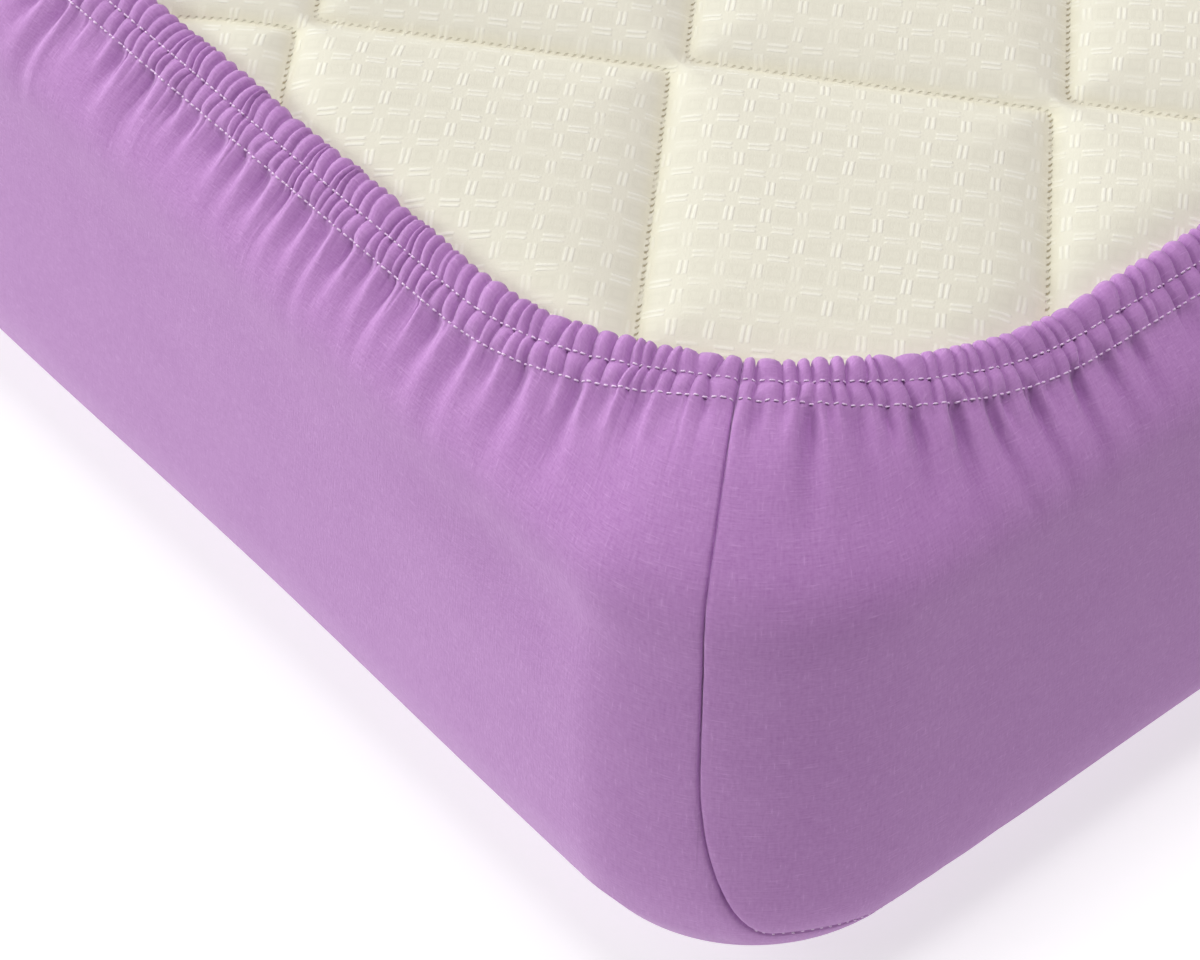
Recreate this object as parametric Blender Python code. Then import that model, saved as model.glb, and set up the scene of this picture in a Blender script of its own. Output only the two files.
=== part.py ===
"""A fitted sheet on a single mattress that lies face down, so that the sheet's elastic edge is on top.

The sheet is cut as a main panel, which is the sleeping face and both long sides, and two end panels.
The end panels are sewn to the main panel up the four corners and along the bottom of each end.
+X runs along the mattress, +Z is up, and the origin is on the floor under the middle.
Corners are numbered anticlockwise from 0 at (+X, -Y). A place round the sheet is a corner and q, the
distance from the middle of that corner along the hem, which grows anticlockwise.
"""

import math
import random

import bmesh
import bpy
from mathutils import Vector

# Mattress, in metres
MATTRESS_LENGTH = 2.000
MATTRESS_WIDTH = 0.900
MATTRESS_HEIGHT = 0.180
MATTRESS_CORNER = 0.056  # radius of its upright corners
MATTRESS_EDGE = 0.045  # radius of its upper edge
MATTRESS_FOOT = 0.050  # radius of its lower edge
ROUNDING_STEPS = 6  # facets in a quarter of those edges
CORNER_STEPS = 8  # facets in a corner

# Cloth
CLOTH = 0.0015
EASE = 0.0020  # air between the mattress and the cloth round it
REST_GAP = 0.0003  # between the mattress and the cloth it lies on
SEAM_GAP = 0.0003  # between two cut edges

# Elastic edge: how far in from the sides it lies, and how widely it rounds the corners
HEM_INSET = 0.030
HEM_CORNER = 0.108

# Gathers of the elastic edge: closer together near a corner, and uneven everywhere
GATHER_STEP_CORNER = 0.020
GATHER_STEP_SIDE = 0.044
GATHER_UNEVEN = (0.72, 1.28)
GATHER_HEIGHT = (0.0007, 0.0020)
CORNER_REACH = 0.150
FAN_LENGTH = 0.042  # the folds stop fanning out over this distance from a corner

# Seams of the end panels: the upright seam is a little off the corner, turns near the floor, and
# then runs under the edge of the end
SEAM_SHIFT = 0.005
SEAM_TURN_TOP = 0.105
SEAM_TURN_BOTTOM = 0.034
SEAM_TURN_WIDTH = 0.022
SEAM_LOW = 0.012
SEAM_LOW_RUN = 0.090

# Casing of the elastic, from its fold to its lower stitching
HEM_ROWS = (
    # from the fold, height over plain cloth, thickness, share of the gathers' height
    (0.000, 0.0006, 0.0021, 0.5),
    (0.005, 0.0020, 0.0035, 1.0),
    (0.014, 0.0004, 0.0019, 0.6),
)
# Gathers and plain cloth below the casing
TOP_ROWS = (
    # share of the way to the wall, share of the gathers' height
    (0.28, 0.9),
    (0.58, 0.4),
)
PLAIN_TOP_ROWS = (0.80, 1.0)
END_ROWS = (0.45, 0.71, 0.86, 1.0)  # from the top of the wall to the lower seam
FOOT_ROWS = (0.30, 0.52, 0.66, 0.78, 0.89, 1.0)  # from where that seam turns to the flat underside

# Upright columns of the plain cloth: distances from the middle of a corner, then even steps
NEAR_COLUMNS = (0.0, 0.002, 0.0075, 0.012, 0.018, 0.027, 0.045, 0.090)
FAR_COLUMN_STEP = 0.17

SHEET_FINISH = ("plain_woven_cotton", (0.49, 0.30, 0.55, 1.0), 0.85)
MATTRESS_FINISH = ("quilted_ticking", (0.83, 0.80, 0.68, 1.0), 0.80)

# What follows from those sizes
CLOTH_OUT = EASE + CLOTH  # from the mattress to the outer skin of the cloth
HALF_X = MATTRESS_LENGTH / 2 + CLOTH_OUT
HALF_Y = MATTRESS_WIDTH / 2 + CLOTH_OUT
CORNER = MATTRESS_CORNER + CLOTH_OUT
EDGE = MATTRESS_EDGE + CLOTH_OUT
MATTRESS_FLOOR = CLOTH + REST_GAP
WALL_TOP = MATTRESS_FLOOR + MATTRESS_HEIGHT - MATTRESS_EDGE
WALL_FOOT = EDGE  # radius of the cloth's lower edge
WALL = WALL_TOP - WALL_FOOT
FLOOR_DROP = WALL + WALL_FOOT * math.pi / 2  # cloth from the top of the wall to the flat underside
CORNER_SAVING = 1 - math.pi / 4  # what a rounded corner saves of its radius, on each of its sides
FAN = HEM_INSET + CORNER_SAVING * (HEM_CORNER - CORNER)


def clear_scene():
    for obj in list(bpy.data.objects):
        bpy.data.objects.remove(obj)


def make_material(name, colour, roughness):
    material = bpy.data.materials.new(name)
    material.use_nodes = True
    shader = material.node_tree.nodes["Principled BSDF"]
    shader.inputs["Base Color"].default_value = colour
    shader.inputs["Roughness"].default_value = roughness
    shader.inputs["Metallic"].default_value = 0.0
    return material


def add_object(name, bm, material):
    """Makes a named object of a closed bmesh, facing out, with its soft edges shaded smooth."""
    bmesh.ops.recalc_face_normals(bm, faces=bm.faces)
    mesh = bpy.data.meshes.new(name)
    bm.to_mesh(mesh)
    bm.free()
    mesh.shade_smooth()
    mesh.set_sharp_from_angle(angle=math.radians(50))
    mesh.materials.append(material)
    obj = bpy.data.objects.new(name, mesh)
    bpy.context.scene.collection.objects.link(obj)


# --- Outlines in plan -----------------------------------------------------------------------------


def rounded_outline(corner, q, half_x, half_y, radius):
    """Point at arc length q from the middle of a rounded rectangle's corner, and the outward normal."""
    middle = math.radians(90 * corner - 45)
    centre_x = math.copysign(half_x - radius, math.cos(middle))
    centre_y = math.copysign(half_y - radius, math.sin(middle))
    half_arc = radius * math.pi / 4
    turned = max(-half_arc, min(half_arc, q))
    angle = middle + turned / radius
    normal = Vector((math.cos(angle), math.sin(angle)))
    along = Vector((-normal.y, normal.x))
    return Vector((centre_x, centre_y)) + normal * radius + along * (q - turned), normal


def hem_point(corner, q):
    return rounded_outline(corner, q, HALF_X - HEM_INSET, HALF_Y - HEM_INSET, HEM_CORNER)[0]


def wall_reach(q):
    """Distance along the wall for a distance along the hem: the folds fan out at a corner."""
    return math.copysign(abs(q) + FAN * (1 - math.exp(-abs(q) / FAN_LENGTH)), q)


def wall_point(corner, q):
    return rounded_outline(corner, wall_reach(q), HALF_X, HALF_Y, CORNER)


def inside_distance(plan):
    """How far a point in plan lies inside the sheet's outline."""
    over_x = abs(plan.x) - (HALF_X - CORNER)
    over_y = abs(plan.y) - (HALF_Y - CORNER)
    return CORNER - math.hypot(max(over_x, 0), max(over_y, 0)) - min(max(over_x, over_y), 0)


def half_side(corner):
    """Distance along the hem from a corner to the middle of the side that follows it."""
    half = HALF_Y if corner % 2 == 0 else HALF_X
    return half - HEM_INSET - CORNER_SAVING * HEM_CORNER


# --- Plain surface of the sheet -------------------------------------------------------------------


def way_to_wall(corner, q):
    """Length of cloth from the fold of the hem to the top of the wall."""
    inset = (wall_point(corner, q)[0] - hem_point(corner, q)).length
    if inset < EDGE:
        return EDGE * math.acos(1 - inset / EDGE)
    return EDGE * math.pi / 2 + inset - EDGE


def surface_on_top(corner, q, left):
    """Point on the outer skin with a length left before the top of the wall."""
    wall, _ = wall_point(corner, q)
    inward = (hem_point(corner, q) - wall).normalized()
    arc = EDGE * math.pi / 2
    inset = EDGE * (1 - math.cos(left / EDGE)) if left < arc else EDGE + left - arc
    plan = wall + inward * inset
    depth = max(0.0, min(inside_distance(plan), EDGE))
    return Vector((plan.x, plan.y, WALL_TOP + math.sqrt(depth * (2 * EDGE - depth))))


def surface_on_side(corner, q, drop):
    """Point on the outer skin at a length drop below the top of the wall."""
    wall, normal = wall_point(corner, q)
    turn = max(0.0, drop - WALL) / WALL_FOOT
    plan = wall - normal * WALL_FOOT * (1 - math.cos(turn))
    height = WALL_FOOT * (1 - math.sin(turn)) if turn > 0 else WALL_TOP - drop
    return Vector((plan.x, plan.y, height))


def surface(corner, q, drop):
    """Point on the outer skin: drop is negative above the top of the wall."""
    place = surface_on_top if drop < 0 else surface_on_side
    return place(corner, q, abs(drop))


def surface_normal(corner, q, drop):
    """Outward normal, from two short steps on the outer skin."""
    step = 0.0004
    along = surface(corner, q + step, drop) - surface(corner, q - step, drop)
    down = surface(corner, q, drop + step) - surface(corner, q, drop - step)
    return down.cross(along).normalized()


def drop_to(height):
    """Length below the top of the wall at which the outer skin is that high."""
    if height >= WALL_FOOT:
        return WALL_TOP - height
    return WALL + WALL_FOOT * math.asin(1 - height / WALL_FOOT)


def seam_drop(corner, q):
    """Length below the top of the wall at which an end panel's lower seam runs."""
    towards_end = q if corner % 2 == 0 else -q
    reach = max(0.0, wall_reach(towards_end) + wall_reach(SEAM_SHIFT) - SEAM_GAP)
    if reach < SEAM_TURN_WIDTH:
        share = 1 - reach / SEAM_TURN_WIDTH
        return drop_to(SEAM_TURN_TOP - (SEAM_TURN_TOP - SEAM_TURN_BOTTOM) * math.sqrt(1 - share**2))
    share = min(1.0, (reach - SEAM_TURN_WIDTH) / SEAM_LOW_RUN)
    eased = share * share * (3 - 2 * share)
    return drop_to(SEAM_TURN_BOTTOM + eased * (SEAM_LOW - SEAM_TURN_BOTTOM))


# --- Columns round the sheet ----------------------------------------------------------------------


def plain_stations(middle, start):
    """Distances from a corner of the columns of plain cloth between its seam and the side's middle."""
    near = sorted({q for distance in NEAR_COLUMNS for q in (-distance, distance)})
    rest = middle - NEAR_COLUMNS[-1]
    steps = round(rest / FAR_COLUMN_STEP)
    far = [NEAR_COLUMNS[-1] + rest * n / steps for n in range(1, steps)]
    return [q for q in near + far if q > start + 0.0005]


def gather_stations(middle, start):
    """Distances from a corner of the ridges and valleys between its seam and the side's middle."""
    uneven = random.Random(round(middle * 1000) + round(start * 10000))
    stations = []
    q = start
    while True:
        step = GATHER_STEP_CORNER if q < CORNER_REACH else GATHER_STEP_SIDE
        step *= uneven.uniform(*GATHER_UNEVEN) / 2
        q += step
        if q > middle - step:
            return stations
        stations.append(q)


def columns_between(first, last, stations):
    """Columns (corner, q) of a panel, from one of its seams past its middle to the other."""
    shift = SEAM_SHIFT if first % 2 else -SEAM_SHIFT
    start, end = shift + SEAM_GAP / 2, -shift - SEAM_GAP / 2
    middle = half_side(first)
    leaving = [(first, q) for q in [start] + stations(middle, start)]
    arriving = [(last, -q) for q in reversed(stations(middle, -end))] + [(last, end)]
    return leaving + [(first, middle)] + arriving


def positions(columns):
    """How far along the panel each column is."""
    first = columns[0][0]
    whole = 2 * half_side(first)
    return [q if corner == first else whole + q for corner, q in columns]


# --- Making cloth ---------------------------------------------------------------------------------


class Cloth:
    """An outer skin made row by row, which knows the inner point behind each of its points."""

    def __init__(self):
        self.bm = bmesh.new()
        self.inner = {}

    def add_row(self, columns, drops, stands=None, thickness=CLOTH):
        """Points along a row, stands proud of the plain surface, with the inner skin behind them."""
        row = []
        for n, ((corner, q), drop) in enumerate(zip(columns, drops)):
            stand = stands[n] if stands else 0.0
            normal = surface_normal(corner, q, drop)
            plain = surface(corner, q, drop)
            vert = self.bm.verts.new(plain + normal * stand)
            self.inner[vert] = plain + normal * (min(stand, thickness - CLOTH) - thickness)
            row.append(vert)
        return row

    def join_rows(self, upper, lower):
        """Triangles between two rows that have the same columns, split the shorter way."""
        for n in range(len(upper) - 1):
            a, b, c, d = upper[n], lower[n], lower[n + 1], upper[n + 1]
            if (a.co - c.co).length < (b.co - d.co).length:
                halves = (a, b, c), (a, c, d)
            else:
                halves = (a, b, d), (b, c, d)
            for half in halves:
                self.bm.faces.new(half)

    def join_uneven_rows(self, upper, upper_at, lower, lower_at):
        """Triangles between two rows that have different columns."""
        i = j = 0
        while i < len(upper) - 1 or j < len(lower) - 1:
            lower_is_done = j == len(lower) - 1
            if lower_is_done or (i < len(upper) - 1 and upper_at[i + 1] <= lower_at[j + 1]):
                self.bm.faces.new((upper[i], lower[j], upper[i + 1]))
                i += 1
            else:
                self.bm.faces.new((upper[i], lower[j], lower[j + 1]))
                j += 1

    def thicken(self):
        """Closes the skin with the inner skin behind it and a rim along the open edges."""
        skin = list(self.bm.faces)
        rim = [edge for edge in self.bm.edges if edge.is_boundary]
        behind = {vert: self.bm.verts.new(place) for vert, place in self.inner.items()}
        for face in skin:
            self.bm.faces.new([behind[vert] for vert in reversed(face.verts)])
        for edge in rim:
            a, b = edge.verts
            self.bm.faces.new((a, b, behind[b], behind[a]))
        return self.bm


def add_gathered_top(cloth, first, last):
    """Casing, gathers and shoulder of a panel. Returns its row at the top of the wall, with the columns."""
    fine = columns_between(first, last, gather_stations)
    plain = columns_between(first, last, plain_stations)
    uneven = random.Random(first)
    heights = [uneven.uniform(*GATHER_HEIGHT) if n % 2 else 0.0 for n in range(len(fine))]
    casing = HEM_ROWS[-1][0]

    def drops_at(columns, share):
        return [(casing - way_to_wall(*column)) * (1 - share) for column in columns]

    rows = []
    for run, stand, thickness, share in HEM_ROWS:
        drops = [run - way_to_wall(*column) for column in fine]
        rows.append(cloth.add_row(fine, drops, [stand + share * h for h in heights], thickness))
    for way, share in TOP_ROWS:
        rows.append(cloth.add_row(fine, drops_at(fine, way), [share * h for h in heights]))
    for upper, lower in zip(rows, rows[1:]):
        cloth.join_rows(upper, lower)
    shoulder = [cloth.add_row(plain, drops_at(plain, way)) for way in PLAIN_TOP_ROWS]
    cloth.join_uneven_rows(rows[-1], positions(fine), shoulder[0], positions(plain))
    cloth.join_rows(*shoulder)
    return shoulder[-1], plain


def make_end_panel(first, last):
    """End panel, from its elastic edge down to its lower seam, which is rounded at both ends."""
    cloth = Cloth()
    row, columns = add_gathered_top(cloth, first, last)
    for share in END_ROWS:
        lower = cloth.add_row(columns, [share * (seam_drop(*column) - SEAM_GAP / 2) for column in columns])
        cloth.join_rows(row, lower)
        row = lower
    return cloth.thicken()


def make_main_panel():
    """Sleeping face and both long sides in one piece, up to the edges sewn to the end panels."""
    cloth = Cloth()
    turn = drop_to(SEAM_TURN_TOP)
    sides = {}
    for first, last in ((3, 0), (1, 2)):
        row, columns = add_gathered_top(cloth, first, last)
        drops = [turn / 2, turn] + [turn + share * (FLOOR_DROP - turn) for share in FOOT_ROWS]
        rows = [row] + [cloth.add_row(columns, [drop] * len(columns)) for drop in drops]
        for upper, lower in zip(rows, rows[1:]):
            cloth.join_rows(upper, lower)
        sides[first] = rows[2:]
    for first, last in ((0, 1), (2, 3)):
        columns = columns_between(first, last, plain_stations)[1:-1]
        seams = [seam_drop(*column) + SEAM_GAP / 2 for column in columns]
        rows = []
        for level, share in enumerate((0.0,) + FOOT_ROWS):
            row = cloth.add_row(columns, [seam + share * (FLOOR_DROP - seam) for seam in seams])
            rows.append([sides[(first - 1) % 4][level][-1]] + row + [sides[last][level][0]])
        for upper, lower in zip(rows, rows[1:]):
            cloth.join_rows(upper, lower)
        sides[first] = rows
    cloth.bm.faces.new([vert for first in range(4) for vert in sides[first][-1][:-1]])
    return cloth.thicken()


# --- Mattress -------------------------------------------------------------------------------------


def rounding(radius):
    """Inset and rise of each level of a rounded edge, from the face to the wall."""
    turns = [math.radians(90 * n / ROUNDING_STEPS) for n in range(ROUNDING_STEPS + 1)]
    return [(radius * (1 - math.sin(turn)), radius * (1 - math.cos(turn))) for turn in turns]


def make_mattress():
    """Plain slab with rounded corners and edges, made of level rings."""
    bm = bmesh.new()
    levels = rounding(MATTRESS_FOOT)
    levels += [(inset, MATTRESS_HEIGHT - rise) for inset, rise in reversed(rounding(MATTRESS_EDGE))]
    rings = []
    for inset, rise in levels:
        half_x = MATTRESS_LENGTH / 2 - inset
        half_y = MATTRESS_WIDTH / 2 - inset
        radius = MATTRESS_CORNER - inset
        ring = []
        for corner in range(4):
            for n in range(CORNER_STEPS + 1):
                q = radius * math.pi / 4 * (2 * n / CORNER_STEPS - 1)
                plan, _ = rounded_outline(corner, q, half_x, half_y, radius)
                ring.append(bm.verts.new((plan.x, plan.y, MATTRESS_FLOOR + rise)))
        rings.append(ring)
    for lower, upper in zip(rings, rings[1:]):
        for n in range(len(lower)):
            m = (n + 1) % len(lower)
            bm.faces.new((lower[n], lower[m], upper[m], upper[n]))
    bm.faces.new(rings[0])
    bm.faces.new(rings[-1])
    return bm


def main():
    clear_scene()
    cotton = make_material(*SHEET_FINISH)
    add_object("mattress", make_mattress(), make_material(*MATTRESS_FINISH))
    add_object("sheet_main_panel", make_main_panel(), cotton)
    add_object("sheet_end_panel_near", make_end_panel(0, 1), cotton)
    add_object("sheet_end_panel_far", make_end_panel(2, 3), cotton)


main()
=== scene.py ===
# %% [markdown]
# # A fitted sheet on a single mattress
#
# The mattress lies face down, so the sheet's gathered elastic edge is on top and its sleeping face is
# underneath. This file builds what the eye sees: the two-thread stitching, the gathers, the creases
# below them, the sewn corner, the quilted ticking inside the edge, and their finishes.
#
# Every length is in metres. +X runs along the mattress, +Y across it and +Z up. The solid model gives
# the outer size. Its nodes are the three sewn panels and the mattress, and each of them gets a finer
# piece here that takes its place.

# %% Load the frame
import math

import bmesh
import bpy
import numpy as np
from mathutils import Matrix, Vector


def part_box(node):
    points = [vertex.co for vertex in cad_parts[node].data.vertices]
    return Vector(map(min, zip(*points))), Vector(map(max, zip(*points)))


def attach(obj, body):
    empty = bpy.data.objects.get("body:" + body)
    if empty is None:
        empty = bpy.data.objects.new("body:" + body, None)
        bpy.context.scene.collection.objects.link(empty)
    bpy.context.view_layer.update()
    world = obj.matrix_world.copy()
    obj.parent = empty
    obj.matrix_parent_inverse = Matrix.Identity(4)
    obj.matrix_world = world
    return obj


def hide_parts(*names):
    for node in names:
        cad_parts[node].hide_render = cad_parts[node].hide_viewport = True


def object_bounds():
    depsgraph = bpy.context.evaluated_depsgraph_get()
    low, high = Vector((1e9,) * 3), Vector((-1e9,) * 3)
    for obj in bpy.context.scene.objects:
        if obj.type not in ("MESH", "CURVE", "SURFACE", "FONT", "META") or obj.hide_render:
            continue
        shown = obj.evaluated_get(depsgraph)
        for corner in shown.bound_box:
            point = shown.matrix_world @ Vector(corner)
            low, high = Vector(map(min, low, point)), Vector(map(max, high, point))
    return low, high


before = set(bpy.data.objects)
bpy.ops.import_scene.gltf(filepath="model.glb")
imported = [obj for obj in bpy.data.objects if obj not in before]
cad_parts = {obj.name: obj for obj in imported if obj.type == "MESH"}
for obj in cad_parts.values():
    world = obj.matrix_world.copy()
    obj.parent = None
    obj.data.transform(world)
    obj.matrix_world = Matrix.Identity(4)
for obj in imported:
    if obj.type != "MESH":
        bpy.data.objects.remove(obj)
cad_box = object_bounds()
for obj in list(bpy.context.selected_objects):
    obj.select_set(False)
print("nodes:", sorted(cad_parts))
print("box:", [tuple(round(x, 4) for x in corner) for corner in cad_box])

# %% [markdown]
# ## Where the cloth runs
#
# The sheet wraps a box with round corners and round edges. Cloth like this could be dropped on the
# mattress by simulation, but the puckers along the elastic are far smaller than a simulated mesh can
# carry. So the cloth is placed by formula: first a plain surface, and then puckers and creases on it.
#
# A place on a panel is c, the distance along the elastic edge from the middle of the panel's first
# corner, and drop, the length of cloth below the top of the upright wall. Above the wall, over the
# rounded shoulder, drop is negative. All the functions take whole arrays, because a panel has tens of
# thousands of points.

# %% Sizes of the plain surface
half_x, half_y = cad_box[1].x, cad_box[1].y
mattress_low, mattress_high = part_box("mattress")
corner_radius = 0.0595
edge_radius = 0.0485
hem_inset = 0.030
hem_radius = 0.108
seam_shift = 0.005
fan_length = 0.042
cloth_over_top = 0.0035
wall_top = mattress_high.z + cloth_over_top - edge_radius
wall = wall_top - edge_radius
floor_drop = wall + edge_radius * math.pi / 2
corner_saving = 1 - math.pi / 4
fan = hem_inset + corner_saving * (hem_radius - corner_radius)
print("wall", round(wall, 4), "cloth from wall top to floor", round(floor_drop, 4))


# %% Outlines in plan
def outline(corner, q, reach_x, reach_y, radius):
    """Points at arc length q from the middle of a rounded rectangle's corner, and outward normals."""
    middle = np.radians(90 * corner - 45)
    centre = np.stack(
        [np.sign(np.cos(middle)) * (reach_x - radius), np.sign(np.sin(middle)) * (reach_y - radius)], -1
    )
    turned = np.clip(q, -radius * np.pi / 4, radius * np.pi / 4)
    angle = middle + turned / radius
    normal = np.stack([np.cos(angle), np.sin(angle)], -1)
    along = np.stack([-normal[..., 1], normal[..., 0]], -1)
    return centre + normal * radius + along * (q - turned)[..., None], normal


def wall_reach(q):
    """Distance along the wall for a distance along the hem: the folds fan out round a corner."""
    return np.sign(q) * (np.abs(q) + fan * (1 - np.exp(-np.abs(q) / fan_length)))


def inside_distance(plan, reach_x, reach_y, radius):
    """How far points in plan lie inside a rounded rectangle."""
    over = np.abs(plan) - np.array([reach_x - radius, reach_y - radius])
    outside = np.hypot(np.maximum(over[..., 0], 0), np.maximum(over[..., 1], 0))
    return radius - outside - np.minimum(over.max(-1), 0)


# %% Places on a panel
class Panel:
    """One panel's place on the sheet, from the corner it starts at to the corner it ends at."""

    def __init__(self, first, last):
        self.first, self.last = first, last
        half = half_x if first % 2 else half_y
        self.middle = half - hem_inset - corner_saving * hem_radius
        shift = seam_shift if first % 2 else -seam_shift
        self.start, self.end = shift, 2 * self.middle - shift

    def corner_and_q(self, c):
        late = c > self.middle
        return np.where(late, self.last, self.first), np.where(late, c - 2 * self.middle, c)

    def wall_at(self, c):
        corner, q = self.corner_and_q(c)
        return outline(corner, wall_reach(q), half_x, half_y, corner_radius)

    def way(self, c):
        """Length of cloth from the fold of the hem to the top of the wall."""
        corner, q = self.corner_and_q(c)
        hem, _ = outline(corner, q, half_x - hem_inset, half_y - hem_inset, hem_radius)
        inset = np.linalg.norm(self.wall_at(c)[0] - hem, axis=-1)
        curved = edge_radius * np.arccos(1 - np.minimum(inset, edge_radius) / edge_radius)
        return np.where(inset < edge_radius, curved, edge_radius * (np.pi / 2 - 1) + inset)

    def plain(self, c, drop):
        """Points of the plain surface."""
        corner, q = self.corner_and_q(c)
        plan, normal = self.wall_at(c)
        hem, _ = outline(corner, q, half_x - hem_inset, half_y - hem_inset, hem_radius)
        inward = hem - plan
        inward /= np.linalg.norm(inward, axis=-1)[..., None]
        left = np.maximum(-drop, 0)
        arc = edge_radius * np.pi / 2
        on_arc = edge_radius * (1 - np.cos(np.minimum(left, arc) / edge_radius))
        inset = np.where(left < arc, on_arc, edge_radius + left - arc)
        over = plan + inward * inset[..., None]
        depth = np.clip(inside_distance(over, half_x, half_y, corner_radius), 0, edge_radius)
        over_z = wall_top + np.sqrt(depth * (2 * edge_radius - depth))
        turn = np.clip(drop - wall, 0, None) / edge_radius
        side = plan - normal * (edge_radius * (1 - np.cos(turn)))[..., None]
        side_z = np.where(turn > 0, edge_radius * (1 - np.sin(turn)), wall_top - drop)
        above = drop < 0
        return np.concatenate(
            [np.where(above[..., None], over, side), np.where(above, over_z, side_z)[..., None]], -1
        )

    def directions(self, c, drop):
        """Unit vectors out of the plain surface and down along it."""
        step = 0.0004
        along = self.plain(c + step, drop) - self.plain(c - step, drop)
        down = self.plain(c, drop + step) - self.plain(c, drop - step)
        out = np.cross(down, along)
        out /= np.linalg.norm(out, axis=-1)[..., None]
        return out, down / np.linalg.norm(down, axis=-1)[..., None]


panels = {
    "front_side": Panel(3, 0),
    "near_end": Panel(0, 1),
    "back_side": Panel(1, 2),
    "far_end": Panel(2, 3),
}
for name, panel in panels.items():
    print(name, "elastic edge", round(panel.end - panel.start, 3), "m")

# %% [markdown]
# ## Gathers
#
# Elastic was stretched while it was sewn into the hem with two needles, so the cloth puckers into
# ridges a few millimetres apart. The ridges above the upper stitching, between the two rows, and
# below them are separate: each stitch row pins the cloth, and the puckers start afresh on its other
# side, a little out of line. So every panel has one list of places where the cloth dips, and three
# uneven sets of depths over it.
#
# They could be drawn as a bump in the material, but they show as an outline against the ticking, so
# they are real ridges. Their spacing comes from a seeded draw, which gives the same cloth on each run.

# %% Uneven numbers
fine_stretch = 0.26  # length of the edge on each side of the closest corner that is made finely
far_away = 9.0


def smooth_noise(seed, step, low, high):
    """An uneven smooth function along a panel, from random values a step apart."""
    count, before_start = 4096, 300
    values = np.random.default_rng(seed).uniform(low, high, count)

    def value(c):
        at = np.asarray(c) / step + before_start
        n = np.floor(at).astype(int) % (count - 1)
        share = at - np.floor(at)
        share = share * share * (3 - 2 * share)
        return values[n] * (1 - share) + values[n + 1] * share

    return value


def distance_to_seen_corner(panel, c):
    """Distance along the edge from the corner that is seen closest, at the +X, -Y corner."""
    if panel.first == 0:
        return np.abs(c)
    if panel.last == 0:
        return np.abs(c - 2 * panel.middle)
    return np.full(np.shape(c), far_away)


for name, panel in panels.items():
    print(name, "starts", distance_to_seen_corner(panel, panel.start).round(3), "m from the corner")


# %% Puckers of the elastic edge
end_pitch, side_pitch, far_pitch = 0.0044, 0.0038, 0.0056  # by the corner on the end and side, elsewhere
seam_dip, seam_height = 0.62, 0.85  # a seam makes the cloth stiff, so it puckers less


class Gathers:
    """Places of the dips along a panel, and how deep and how long each one is."""

    def __init__(self, panel, seed):
        uneven = np.random.default_rng(seed)
        places = [panel.start]
        while places[-1] < panel.end - 0.004:
            pitch = far_pitch
            if distance_to_seen_corner(panel, places[-1]) < fine_stretch:
                pitch = end_pitch if panel.first == 0 else side_pitch
            places.append(places[-1] + pitch * uneven.uniform(0.62, 1.45))
        places[-1] = panel.end
        self.places = np.array(places)
        count = len(places)
        self.dips = {zone: uneven.beta(1.1, 2.4, count) * 0.55 for zone in ("header", "band")}
        self.dips["below"] = uneven.beta(1.6, 1.6, count)
        self.heights = {zone: uneven.uniform(0.7, 1.15, count) for zone in ("header", "band", "below")}
        self.fade = uneven.uniform(0.0025, 0.009, count)
        for zone in ("header", "band"):
            self.dips[zone][[0, -1]] = seam_dip
            self.heights[zone][[0, 1, -2, -1]] = seam_height

    def at(self, c, zone):
        """Height of the cloth in a zone, from 0 in the deepest dips to about 1 on the ridges."""
        n = np.clip(np.searchsorted(self.places, c, side="right") - 1, 0, len(self.places) - 2)
        phase = np.clip((c - self.places[n]) / (self.places[n + 1] - self.places[n]), 0, 1)
        dip = self.dips[zone][n] * (1 - phase) + self.dips[zone][n + 1] * phase
        high = self.heights[zone][n] * (1 - phase) + self.heights[zone][n + 1] * phase
        ridge = np.sin(np.pi * phase) ** 0.4
        fade = self.fade[n] * (1 - phase) + self.fade[n + 1] * phase
        return dip + (high - dip) * ridge, fade

    def columns(self, panel):
        """Places of the mesh's columns: some in every pucker, and more near the closest corner."""
        fine = np.array([0.0, 0.10, 0.26, 0.42, 0.58, 0.74, 0.90])
        coarse = np.array([0.0, 0.22, 0.5, 0.78])
        made = []
        for a, b in zip(self.places, self.places[1:]):
            near = distance_to_seen_corner(panel, a) < fine_stretch
            made.append(a + (b - a) * (fine if near else coarse))
        beside_seam = np.array([0.00006, 0.00016, 0.0003, 0.0005, 0.0008, 0.0012, 0.0017, 0.0023, 0.0031])
        made += [self.places[0] + beside_seam, self.places[-1] - beside_seam, self.places[-1:]]
        made = np.unique(np.round(np.concatenate(made), 6))
        least_apart, dense_stretch = 0.0002, 0.0036
        apart = np.diff(made) > least_apart
        beside = np.minimum(made - made[0], made[-1] - made)[1:] < dense_stretch
        return made[np.concatenate([[True], apart | beside])]


gathers = {name: Gathers(panel, 11 + n) for n, (name, panel) in enumerate(panels.items())}
for name, made in gathers.items():
    print(name, len(made.places) - 1, "puckers,", len(made.columns(panels[name])), "columns")
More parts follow.
